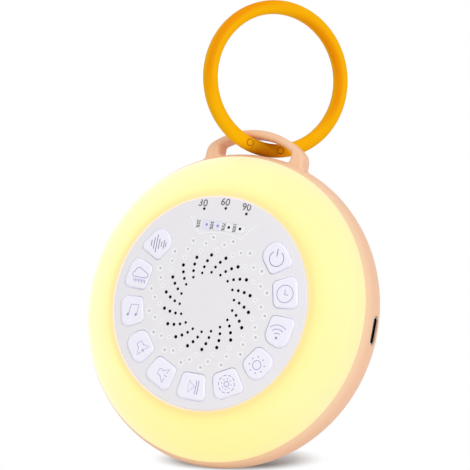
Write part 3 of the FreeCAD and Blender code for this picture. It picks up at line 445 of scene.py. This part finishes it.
def white_panel():
    """White plastic: painted shade in the dimples and down the speaker holes, painted highlights round the
    dimples and on the frame line, and painted glow in the gaps beside the keys.
    """
    material, tree, shader, place = new_material("white_panel", {"Specular IOR Level": 0.4,
                                                                 "Emission Strength": 1.0})
    well = place_group(tree, panel_depth, {"Vector": place})
    # Painted shade: the deeper below the domed front, the darker, near black down the speaker holes.
    shade = ramp(tree, well["Depth"], [
        (0.0, WHITE), (0.03, srgb(248, 248, 250)), (0.08, srgb(222, 222, 226)),
        (0.2, srgb(204, 204, 212)), (0.34, srgb(34, 34, 40)), (1.0, srgb(18, 18, 22))])
    plastic = dyed(tree, place, srgb(242, 240, 244), 0.02)
    colour = mix(tree, well["Inside"], plastic, shade, "MULTIPLY")
    for circle, degrees, mouth in DIMPLE_CIRCLES:
        dimple = place_group(tree, dimple_reach, {"Vector": place, "Circle": circle * MM,
                                                  "Turn": math.radians(degrees)})
        # Painted highlight: a white ring round each dimple's mouth.
        painted_dimple_highlight = ramp(tree, span(tree, dimple["Reach"], 0.0, 2.0 * mouth),
                    [(0.5, BLACK), (0.58, WHITE), (0.8, WHITE), (1.0, BLACK)])
        colour = mix(tree, painted_dimple_highlight, colour, WHITE)
    # Painted highlight: the raised frame line is made near white.
    raised = calc(tree, "LESS_THAN", well["Depth"], -FRAME_LINE_RISE)
    with_painted_frame_highlight = mix(tree, raised, colour, srgb(252, 252, 254))
    # Painted glow: the walls of the gaps beside the keys give light, more towards the panel's rim.
    outside = calc(tree, "SUBTRACT", 1.0, well["Inside"])
    gap_glow_share = calc(tree, "MULTIPLY", span(tree, well["Depth"], *KEY_GAP_DEPTHS), outside)
    ring = place_group(tree, round_distance, {"Vector": place, "Inner": HOLES_REACH * MM,
                                              "Outer": panel_radius})
    painted_gap_glow = ramp(tree, ring["Share"], [
        (0.0, srgb(52, 52, 58)), (0.3, srgb(96, 95, 102)), (0.7, srgb(142, 140, 150)),
        (0.85, srgb(142, 140, 150)), (0.92, BLACK)])
    set_inputs(tree, shader, {"Base Color": with_painted_frame_highlight, "Emission Color": mix(tree, gap_glow_share, BLACK, painted_gap_glow)})
    grain_on(tree, shader, place, 4500.0, 0.35, 0.012, (0.42, 0.52))
    return material


def white_keys():
    """Milky keys with a faint lavender light in them."""
    return moulded_plastic("white_keys", srgb(248, 247, 254), roughness=(0.34, 0.44), mottle=0.03,
                           grain_scale=7000.0, grain_depth=0.006,
                           constants={"Emission Color": (0.008, 0.004, 0.04, 1.0), "Emission Strength": 1.0})


def window_strip():
    """Printed strip with the light of the two lit lamps of the charge gauge painted on as lavender cells."""
    material, tree, shader, place = new_material("window_strip", {"Specular IOR Level": 0.55})
    colour = dyed(tree, place, srgb(247, 247, 249), 0.02)
    across = split(tree, place)["X"]
    near, far = ((WINDOW_CELL_HALF + blur) * MM for blur in (-WINDOW_CELL_BLUR, WINDOW_CELL_BLUR))
    # Painted light: lavender cells over the lit lamps.
    for x in WINDOW_CELLS:
        away = calc(tree, "ABSOLUTE", calc(tree, "SUBTRACT", across, x * MM))
        colour = mix(tree, span(tree, away, near, far, 1.0, 0.0), colour, srgb(236, 236, 254))
    set_inputs(tree, shader, {"Base Color": colour})
    grain_on(tree, shader, place, 6000.0, 0.15, 0.006, (0.22, 0.32))
    return material


def smoked_pipe():
    """Smoked clear plugs; the two that stand over lit lamps glow lavender blue."""
    material, tree, shader, place = new_material("smoked_pipe", {"Specular IOR Level": 0.25,
                                                                 "Emission Strength": 1.0})
    parts = split(tree, place)
    left = calc(tree, "LESS_THAN", parts["X"], LIT_CORNER[0] * MM)
    low = calc(tree, "LESS_THAN", parts["Z"], LIT_CORNER[1] * MM)
    glow = mix(tree, calc(tree, "MULTIPLY", low, left), BLACK, srgb(156, 152, 204))
    speck = add_node(tree, "TexNoise", {"Vector": place, "Scale": 2600.0, "Detail": 2.0}).outputs["Fac"]
    dull = ramp(tree, speck, [(0.3, srgb(12, 12, 16)), (0.7, srgb(28, 28, 34))])
    set_inputs(tree, shader, {"Base Color": dull, "Emission Color": glow})
    vary_roughness(tree, shader, speck, 0.12, 0.22)
    return material


def pin_places():
    """Middle of each of the two pins that hold the ring's link."""
    points = [vertex.co for vertex in frame["nodes"]["ring_link_pins"].data.vertices]
    left = min(points, key=lambda p: p.x)
    right = max(points, key=lambda p: p.x)
    groups = ([], [])
    for point in points:
        groups[(point - left).length > (point - right).length].append(point)
    return [sum(members, Vector()) / len(members) for members in groups]


def ring_pin_edge(tree, place, middle):
    """1 in a thin circle round a pin of the ring's link, 0 elsewhere."""
    axis = Vector((math.sin(ring_heading), -math.cos(ring_heading), 0.0))
    offset = vector_calc(tree, "SUBTRACT", place, middle)
    reach = vector_calc(tree, "LENGTH", vector_calc(tree, "CROSS_PRODUCT", offset, axis))
    beyond = calc(tree, "GREATER_THAN", reach, PIN_EDGE[0] * MM)
    within = calc(tree, "LESS_THAN", reach, PIN_EDGE[1] * MM)
    return calc(tree, "MULTIPLY", within, beyond)


def ring_plastic(name, constants):
    """Golden plastic with painted shade: an orange band on its slanted side, and brown on its link under the
    bar of the loop.
    """
    material, tree, shader, place = new_material(name, constants)
    reach = vector_calc(tree, "LENGTH", vector_calc(tree, "SUBTRACT", place, ring_foot))
    # Painted shade: the gold darkens to brown towards the link's foot, under the bar of the loop.
    gold_with_painted_shade = ramp(tree, span(tree, reach, 0.0, LINK_SHADE_REACH * MM), [
        (0.0, srgb(184, 112, 0)), (0.25, srgb(188, 116, 0)), (0.5, srgb(212, 146, 0)),
        (0.75, srgb(244, 172, 0)), (1.0, srgb(255, 184, 0))])
    shade_band = place_group(tree, ring_shade_band, {"Vector": place})
    # Painted shade: darker orange along the band's side that gets the least light.
    colour = mix(tree, shade_band["Shade Band"], gold_with_painted_shade, srgb(247, 154, 0))
    for middle in pin_places():
        colour = mix(tree, ring_pin_edge(tree, place, middle), colour, srgb(196, 122, 0))
    set_inputs(tree, shader, {"Base Color": dyed(tree, place, colour, 0.05)})
    grain_on(tree, shader, place, 3600.0, 0.3, 0.012, (0.42, 0.52))
    return material


def carry_ring():
    """Ring and link, with hardly any gloss."""
    return ring_plastic("carry_ring_plastic", {"Specular IOR Level": 0.04})


def ring_pin():
    """Pins of the link, a little glossier than the ring."""
    return ring_plastic("ring_pin_plastic", {"Specular IOR Level": 0.1})


def two_tone(name, constants, texture, output, stops, roughness, bump=None):
    """Finish that one texture over the whole piece colours, roughens and, with a bump, raises."""
    material, tree, shader, place = new_material(name, constants)
    kind, settings = texture
    pattern = add_node(tree, kind, {"Vector": place, **settings}).outputs[output]
    set_inputs(tree, shader, {"Base Color": ramp(tree, pattern, stops)})
    vary_roughness(tree, shader, pattern, *roughness)
    if bump:
        add_bump(tree, shader, pattern, *bump)
    return material


def lamp_body():
    """Ivory lamp bodies with a mustard phosphor window."""
    return two_tone("lamp_body", {"Coat Weight": 0.3}, ("TexVoronoi", {"Scale": 900.0}), "Distance",
                    [(0.3, srgb(236, 208, 96)), (0.55, srgb(244, 240, 222))], (0.25, 0.4))


def magnet():
    """Sintered magnet: dark, dull and slightly speckled."""
    return two_tone("magnet_ferrite", {}, ("TexNoise", {"Scale": 1800.0, "Detail": 5.0}), "Fac",
                    [(0.35, srgb(40, 40, 44)), (0.7, srgb(74, 74, 80))], (0.5, 0.75), (0.4, 0.03))


def foam():
    """Closed-cell foam with small pores."""
    return two_tone("black_foam", {"Sheen Weight": 0.2}, ("TexVoronoi", {"Scale": 2400.0}), "Distance",
                    [(0.0, srgb(20, 20, 22)), (0.6, srgb(58, 58, 62))], (0.8, 0.95), (0.8, 0.1))


def cell_wrap():
    """Laminated foil pouch with small creases."""
    return two_tone("cell_wrap", {"Metallic": 0.85},
                    ("TexNoise", {"Scale": 180.0, "Detail": 6.0, "Roughness": 0.65}), "Fac",
                    [(0.3, srgb(176, 180, 186)), (0.7, srgb(212, 214, 218))], (0.28, 0.5), (0.7, 0.25))


def circuit_board():
    """Green solder mask over copper runs, with bright pads."""
    material, tree, shader, place = new_material("circuit_board", {"Coat Weight": 0.2})
    flat = add_node(tree, "Mapping", {"Vector": place, "Rotation": (math.radians(90), 0, 0),
                                      "Scale": (260.0, 260.0, 260.0)})
    runs = add_node(tree, "TexBrick", {"Vector": flat.outputs[0], "Color1": BLACK,
                                       "Color2": (0.3, 0.3, 0.3, 1.0), "Mortar": WHITE,
                                       "Scale": 1.0, "Mortar Size": 0.06})
    mask = ramp(tree, runs.outputs["Color"], [(0.0, srgb(18, 84, 48)), (1.0, srgb(46, 128, 74))])
    dots = add_node(tree, "TexVoronoi", {"Vector": place, "Scale": 420.0}).outputs["Distance"]
    pads = calc(tree, "LESS_THAN", dots, 0.16)
    set_inputs(tree, shader, {"Base Color": mix(tree, pads, mask, srgb(206, 200, 176)), "Metallic": pads})
    vary_roughness(tree, shader, dots, 0.3, 0.45)
    add_bump(tree, shader, runs.outputs["Fac"], 0.4, 0.02)
    return material


def plated_steel(name, colour, stretch):
    """Plated steel with drawn or turned lines and faint clouding."""
    material, tree, shader, place = new_material(name, {"Metallic": 1.0})
    drawn = add_node(tree, "Mapping", {"Vector": place, "Scale": stretch})
    lines = add_node(tree, "TexNoise", {"Vector": drawn.outputs[0], "Scale": 900.0, "Detail": 3.0})
    set_inputs(tree, shader, {"Base Color": dyed(tree, place, colour, 0.18, 700.0)})
    vary_roughness(tree, shader, lines.outputs["Fac"], 0.24, 0.42)
    add_bump(tree, shader, lines.outputs["Fac"], 0.3, 0.01)
    return material


def steel():
    return plated_steel("zinc_plated_steel", srgb(196, 197, 202), (1.0, 1.0, 1.0))


def socket_steel():
    """Drawn shell whose rim is bright and whose inside is painted near black as shade, from just behind the
    rim.
    """
    material = plated_steel("drawn_socket_steel", srgb(196, 197, 202), (0.2, 2.0, 2.0))
    tree, shader, colour, place = reopened(material)
    # Painted shade: all but the front rim of the shell is made near black.
    rim = calc(tree, "GREATER_THAN", split(tree, place)["X"], socket_mouth - SOCKET_RIM * MM)
    set_inputs(tree, shader, {"Base Color": mix(tree, rim, srgb(24, 24, 28), colour)})
    return material


def cone_film():
    """Dark formed film with pressed rings."""
    material, tree, shader, place = new_material("cone_film", {"Sheen Weight": 0.2})
    cone = place_group(tree, round_distance, {"Vector": place, "Inner": 0.0, "Outer": CONE_REACH * MM})
    wave = calc(tree, "SINE", calc(tree, "MULTIPLY", cone["Share"], CONE_WAVE))
    colour = ramp(tree, wave, [(0.0, srgb(34, 34, 38)), (1.0, srgb(48, 48, 54))])
    set_inputs(tree, shader, {"Base Color": colour})
    vary_roughness(tree, shader, wave, 0.35, 0.5)
    add_bump(tree, shader, wave, 0.5, 0.05)
    return material


def cloth():
    """Fine black weave behind the speaker holes."""
    material, tree, shader, place = new_material("speaker_cloth", {"Roughness": 0.9, "Sheen Weight": 0.3})
    parts = split(tree, place)
    threads = [calc(tree, "SINE", calc(tree, "MULTIPLY", parts[axis], THREAD_WAVE)) for axis in ("X", "Z")]
    weave = calc(tree, "MULTIPLY", *threads)
    colour = ramp(tree, weave, [(0.0, srgb(16, 16, 18)), (1.0, srgb(40, 40, 44))])
    set_inputs(tree, shader, {"Base Color": colour})
    add_bump(tree, shader, weave, 0.6, 0.05)
    return material


def black_plastic():
    return moulded_plastic("black_plastic", srgb(34, 34, 38), roughness=(0.42, 0.56), mottle=0.1)


def inner_plastic():
    return moulded_plastic("inner_plastic", srgb(222, 222, 224), roughness=(0.45, 0.6), mottle=0.06,
                           grain_scale=2600.0)


def reflector_film():
    return moulded_plastic("reflector_film", srgb(248, 248, 248), roughness=(0.55, 0.65), mottle=0.02,
                           grain_scale=9000.0)


def connector_ivory():
    return moulded_plastic("connector_ivory", srgb(236, 230, 212), roughness=(0.4, 0.5), mottle=0.06)


def lead_insulation():
    """Red insulation of the leads, a little darker in runs."""
    return moulded_plastic("lead_insulation", srgb(186, 32, 28), roughness=(0.4, 0.55), mottle=0.15,
                           grain_scale=3000.0)


finishes = {
    "peach_shell": peach_shell(), "glow_ring": glow_ring(), "white_panel": white_panel(),
    "white_keys": white_keys(), "window_strip": window_strip(), "dark_pipe": smoked_pipe(),
    "lamp_body": lamp_body(), "circuit_board": circuit_board(), "black_plastic": black_plastic(),
    "steel": steel(), "socket_steel": socket_steel(), "magnet": magnet(), "cone_film": cone_film(),
    "cloth": cloth(), "foam": foam(), "inner_plastic": inner_plastic(), "reflector_film": reflector_film(),
    "connector_white": connector_ivory(), "cell_wrap": cell_wrap(), "lead_red": lead_insulation(),
    "orange_ring": carry_ring(), "orange_pin": ring_pin()}


def give_finish(mesh, material):
    mesh.materials.clear()
    mesh.materials.append(material)


for node_name, node_object in frame["nodes"].items():
    give_finish(node_object.data, finishes[slot_of[node_name]])


def surface_under(node):
    """Ray caster for one node's front, at rest."""
    mesh = frame["nodes"][node].data
    return BVHTree.FromPolygons([v.co for v in mesh.vertices], [p.vertices for p in mesh.polygons])


def lay_on(mesh, surface):
    """Press a thin print onto the front of what carries it, point by point."""
    half = max(abs(vertex.co.y) for vertex in mesh.vertices)
    for vertex in mesh.vertices:
        start = Vector((vertex.co.x, housing_low.y - RAY_START * MM, vertex.co.z))
        hit = surface.ray_cast(start, Vector((0, 1, 0)))[0]
        vertex.co.y = hit.y + vertex.co.y / half * PRINT_RISE * MM


def finish_print(name, mesh, node, body, material):
    """Lay a print on a node, give it its ink, and let it ride on the node's body."""
    lay_on(mesh, surface_under(node))
    piece = bpy.data.objects.new(name, mesh)
    bpy.context.scene.collection.objects.link(piece)
    give_finish(mesh, material)
    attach(piece, body)


def printed_ink(name, colour):
    """Thin layer of ink: slightly uneven, a little glossier than the plastic under it."""
    material, tree, shader, place = new_material(name, {"Specular IOR Level": 0.4})
    set_inputs(tree, shader, {"Base Color": dyed(tree, place, colour, 0.12, 1500.0)})
    grain_on(tree, shader, place, 9000.0, 0.2, 0.004, (0.35, 0.5))
    return material


def arc(x, z, radius, start=0.0, end=360.0, steps=28):
    """Points of an arc in the panel's plane; angles run clockwise from the top."""
    whole = end - start >= 360.0
    count = steps if whole else steps + 1
    turns = [math.radians(start + (end - start) * i / steps) for i in range(count)]
    return [(x + radius * math.sin(t), z + radius * math.cos(t)) for t in turns], whole


def dot(x, z, radius):
    """A filled dot, as a small ring whose line is as wide as its hole."""
    points, whole = arc(x, z, radius / 2, steps=10)
    return points, whole, radius


def path(*points):
    """Open line through points."""
    return list(points), False


def loop(*points):
    """Closed line through points."""
    return list(points), True


def turned_strokes(strokes, degrees, shift=(0.0, 0.0)):
    """Strokes turned clockwise about the key's middle and then shifted."""
    cos, sin = math.cos(math.radians(degrees)), math.sin(math.radians(degrees))
    return [([(x * cos + z * sin + shift[0], z * cos - x * sin + shift[1]) for x, z in stroke[0]],
             *stroke[1:]) for stroke in strokes]


def curve_mesh(name, curve):
    """Mesh of a curve or a text, which is not kept."""
    maker = bpy.data.objects.new(name + "_curve", curve)
    mesh = bpy.data.meshes.new_from_object(maker)
    mesh.name = name
    bpy.data.objects.remove(maker)
    return mesh


def stroke_mesh(name, strokes, centre, width):
    """Mesh of printed lines: flattened round strokes, standing upright in the panel's plane."""
    curve = bpy.data.curves.new(name, "CURVE")
    curve.dimensions = "3D"
    curve.bevel_depth = width / 2 * MM
    curve.bevel_resolution = 1
    curve.use_fill_caps = True
    for stroke in strokes:
        points, whole = stroke[0], stroke[1]
        weight = stroke[2] / width if len(stroke) > 2 else 1.0
        spline = curve.splines.new("POLY")
        spline.points.add(len(points) - 1)
        for point, (x, z) in zip(spline.points, points):
            point.co = ((centre[0] + x) * MM, 0.0, (centre[1] + z) * MM, 1.0)
            point.radius = weight
        spline.use_cyclic_u = whole
    return curve_mesh(name, curve)


def text_mesh(name, words, centre, width, height, weight, turn=0.0):
    """Mesh of figures of a given size, centred on a place in the panel's plane and turned clockwise."""
    curve = bpy.data.curves.new(name, "FONT")
    curve.body = words
    curve.align_x = "CENTER"
    curve.align_y = "CENTER"
    curve.extrude = 0.05
    curve.offset = weight
    curve.resolution_u = 3
    mesh = curve_mesh(name, curve)
    across = [vertex.co.x for vertex in mesh.vertices]
    upward = [vertex.co.y for vertex in mesh.vertices]
    wide = width * MM / (max(across) - min(across))
    tall = height * MM / (max(upward) - min(upward))
    middle = ((min(across) + max(across)) / 2, (min(upward) + max(upward)) / 2)
    mesh.transform(Matrix.Translation((-middle[0], -middle[1], 0)))
    mesh.transform(Matrix.Translation((centre[0] * MM, 0, centre[1] * MM))
                   @ Matrix.Rotation(math.radians(turn), 4, "Y")
                   @ Matrix.Rotation(math.radians(90), 4, "X") @ Matrix.Diagonal((wide, tall, tall, 1.0)))
    return mesh


def loudspeaker_symbol(sign):
    """Small loudspeaker whose mouth is broken by a minus or a plus."""
    strokes = [path((1.1, 0.95), (1.15, 2.6), (-0.5, 1.05), (-1.95, 1.05), (-1.95, -0.95), (-0.5, -0.95),
                    (1.3, -2.5), (1.2, -0.85)),
               path((0.5, 0.05), (1.75, 0.05))]
    if sign == "plus":
        strokes.append(path((1.12, 0.65), (1.12, -0.55)))
    return strokes


def sun_rays(radius, count, size):
    """Dots in a circle round the key's middle."""
    turns = [2 * math.pi * i / count for i in range(count)]
    return [dot(radius * math.sin(t), radius * math.cos(t), size) for t in turns]


def cloud_outline():
    """Cloud of three round arcs over a flat foot."""
    left, _ = arc(-2.1, -0.35, 0.85, 180.0, 340.0, 12)
    top, _ = arc(-0.75, 0.7, 1.3, 275.0, 395.0, 12)
    right, _ = arc(2.1, -0.35, 0.85, 10.0, 180.0, 12)
    return loop(*left, *top, *right)


rain_drops = [path((-2.1 + 0.6 * i, -1.8), (-2.1 + 0.6 * i, -2.6 - 0.5 * (i % 2))) for i in range(8)]
sound_bars = [path((x, -height / 2), (x, height / 2)) for x, height in
              ((-2.75, 2.0), (-1.75, 3.8), (-0.8, 6.0), (0.1, 3.6), (1.0, 1.8), (1.9, 3.0), (2.6, 1.6))]
broken_circle = [arc(0, 0, 2.8, 36 * i, 36 * i + 24, 5) for i in range(10)]
wireless_arcs = [arc(-0.1, -1.3, radius, -42, 42, 12) for radius in (1.5, 2.8, 4.1)]

# Each symbol with its place on the panel.
symbols = {
    "power": ((21.25, 17.15), [arc(0, 0, 2.5, 35, 325), path((-0.05, 0.75), (-0.05, 3.25))]),
    "sleep_timer": ((26.4, 6.5), [arc(0, 0, 2.8), path((-0.1, 1.4), (-0.1, -0.25), (1.2, -0.25))]),
    "wireless": ((26.3, -6.3), [dot(-0.1, -1.3, 0.5)] + wireless_arcs),
    "brightness": ((21.4, -17.0), [arc(0, 0, 1.45)] + sun_rays(2.6, 8, 0.27)),
    "light_mode": ((12.25, -24.6), broken_circle + [arc(0, 0, 0.85, steps=16)] + sun_rays(1.65, 8, 0.22)),
    "play": ((1.1, -27.3), [loop((-2.0, 1.75), (-2.0, -2.0), (0.1, 0.0)), path((0.6, -2.4), (0.6, 2.1)),
                            path((1.4, -2.4), (1.4, 2.1))]),
    "volume_down": ((-10.95, -25.25), turned_strokes(loudspeaker_symbol("minus"), LOUDSPEAKER_TILT)),
    "volume_up": ((-20.4, -18.2), turned_strokes(loudspeaker_symbol("plus"), 2 * LOUDSPEAKER_TILT,
                                                 (-0.3, 0.2))),
    "music": ((-26.4, -6.6), [dot(-1.85, -1.4, 0.5), dot(1.15, -1.1, 0.5),
                              path((-1.55, -1.3), (-1.3, 2.0), (1.65, 2.25), (1.45, -1.0))]),
    "rain": ((-26.5, 5.9), [cloud_outline()] + rain_drops),
    "white_noise": ((-21.9, 16.6), sound_bars)}

lilac_ink = printed_ink("lilac_ink", srgb(168, 162, 210))
grey_ink = printed_ink("grey_ink", srgb(130, 126, 164))
for key, (centre, strokes) in symbols.items():
    place = (centre[0] + SYMBOL_SHIFT[0], centre[1] + SYMBOL_SHIFT[1])
    mesh = stroke_mesh("symbol_" + key, strokes, place, SYMBOL_LINE)
    ink = grey_ink if key in ("power", "white_noise") else lilac_ink
    finish_print("symbol_" + key, mesh, "key_" + key, key + "_key", ink)

minutes_ink = printed_ink("minutes_ink", srgb(104, 102, 110))
for minutes, x, z in (("30", -8.5, 32.05), ("60", -0.5, 33.2), ("90", 7.4, 32.4)):
    mesh = text_mesh("minutes_" + minutes, minutes, (x, z), DIGITS_WIDTH, DIGIT_HEIGHT, DIGIT_WEIGHT)
    finish_print("minutes_" + minutes, mesh, "front_panel", "housing", minutes_ink)
for percent, x, node in (("25", -8.9, "front_panel"), ("50", -3.9, "gauge_window"),
                         ("75", 0.4, "gauge_window"), ("100", 4.4, "gauge_window")):
    mesh = text_mesh("charge_" + percent, percent + "%", (x + LABEL_SHIFT, LABELS_UP), LABEL_WIDTH,
                     LABEL_HEIGHT, LABEL_WEIGHT, 90.0)
    finish_print("charge_" + percent, mesh, node, "housing", minutes_ink)


def add_camera():
    """Camera at the photograph's viewing angle."""
    data = bpy.data.cameras.new("camera")
    data.sensor_width = 36.0
    data.lens = CAMERA_LENS
    data.clip_start = 0.01
    data.clip_end = 20.0
    camera = bpy.data.objects.new("camera", data)
    bpy.context.scene.collection.objects.link(camera)
    upright = Matrix.Rotation(math.radians(90), 4, "X")
    camera.matrix_world = Matrix.Translation(CAMERA_PLACE) @ room_turn @ upright
    bpy.context.scene.camera = camera


def mix_shaders(tree, share, first, second):
    """Shader between two others."""
    return add_node(tree, "MixShader", {0: share, 1: first, 2: second}).outputs[0]


def seen_directly(tree):
    """1 for rays from the camera and for what gloss and clear plastic show, and 0 for light."""
    rays = tree.nodes.new("ShaderNodeLightPath").outputs
    first = calc(tree, "MAXIMUM", rays["Is Camera Ray"], rays["Is Glossy Ray"])
    return calc(tree, "MAXIMUM", first, rays["Is Transmission Ray"])


def add_world():
    """Room that lights the machine at a plain level, and that the camera and gloss see as white."""
    world = bpy.data.worlds.new("studio_room")
    bpy.context.scene.world = world
    world.use_nodes = True
    tree = world.node_tree
    tree.nodes.clear()
    light, white = (add_node(tree, "Background", {"Color": WHITE, "Strength": strength}).outputs[0]
                    for strength in (ROOM_LEVEL, 1.0))
    add_node(tree, "OutputWorld", {"Surface": mix_shaders(tree, seen_directly(tree), light, white)})


def floor_material():
    """Pale floor that keeps the machine's shadow, has painted shadow round the touch for the camera, fades
    into the white room and is clear from below.
    """
    material, tree, shader, place = new_material("pale_floor", {"Roughness": 0.7, "Specular IOR Level": 0.2})
    seen = seen_directly(tree)
    from_shadow, from_touch = (vector_calc(tree, "LENGTH", vector_calc(tree, "SUBTRACT", place, middle))
                               for middle in (SHADOW_MIDDLE, SHADE_MIDDLE))
    dust = add_node(tree, "TexNoise", {"Vector": place, "Scale": 60.0, "Detail": 3.0})
    pale = ramp(tree, dust.outputs["Fac"], [(0.3, srgb(247, 247, 248)), (0.7, srgb(251, 251, 252))])
    # Painted shadow: what the camera and gloss see is darker near where the machine touches the floor.
    painted_shadow = ramp(tree, span(tree, from_touch, 0.0, SHADE_REACH), [
        (0.0, srgb(134, 138, 144)), (0.35, srgb(152, 156, 162)), (0.5, srgb(180, 184, 190)),
        (0.65, srgb(204, 209, 214)), (0.9, srgb(236, 241, 246))])
    set_inputs(tree, shader, {"Base Color": mix(tree, seen, pale, painted_shadow)})
    far = span(tree, from_shadow, FADE_START, FADE_END, interpolation_type="SMOOTHSTEP")
    white = add_node(tree, "Emission", {"Color": WHITE, "Strength": 1.0}).outputs[0]
    faded = mix_shaders(tree, calc(tree, "MULTIPLY", far, seen), shader.outputs[0], white)
    below = tree.nodes.new("ShaderNodeNewGeometry").outputs["Backfacing"]
    clear = tree.nodes.new("ShaderNodeBsdfTransparent").outputs[0]
    set_inputs(tree, tree.nodes["Material Output"], {"Surface": mix_shaders(tree, below, faded, clear)})
    return material


def lowest_point(direction):
    """The point of the machine's shell that lies lowest against a direction."""
    shell = [vertex.co for node in ("rear_housing", "light_diffuser")
             for vertex in frame["nodes"][node].data.vertices]
    return min(shell, key=direction.dot)


def add_floor():
    """Disc under the machine's lowest point, level for the camera."""
    disc = bmesh.new()
    bmesh.ops.create_circle(disc, cap_ends=True, radius=FLOOR_RADIUS, segments=96)
    mesh = bpy.data.meshes.new("floor")
    disc.to_mesh(mesh)
    disc.free()
    floor = bpy.data.objects.new("floor", mesh)
    bpy.context.scene.collection.objects.link(floor)
    touch = lowest_point(room_turn.col[2].to_3d())
    floor.matrix_world = Matrix.Translation(touch) @ room_turn
    give_finish(mesh, floor_material())


def add_lamp(name, place, size, level):
    """Square soft lamp aimed at the machine's middle; level is what a white surface takes from it."""
    data = bpy.data.lights.new(name, "AREA")
    data.size = size
    place = Vector(place)
    data.energy = level * math.pi**2 * place.length_squared
    lamp = bpy.data.objects.new(name, data)
    bpy.context.scene.collection.objects.link(lamp)
    lamp.location = place
    lamp.rotation_mode = "QUATERNION"
    lamp.rotation_quaternion = (-place).to_track_quat("-Z", "Y")


add_camera()
add_world()
add_floor()
for lamp in LAMPS:
    add_lamp(*lamp)
bpy.context.scene.view_settings.view_transform = "Standard"
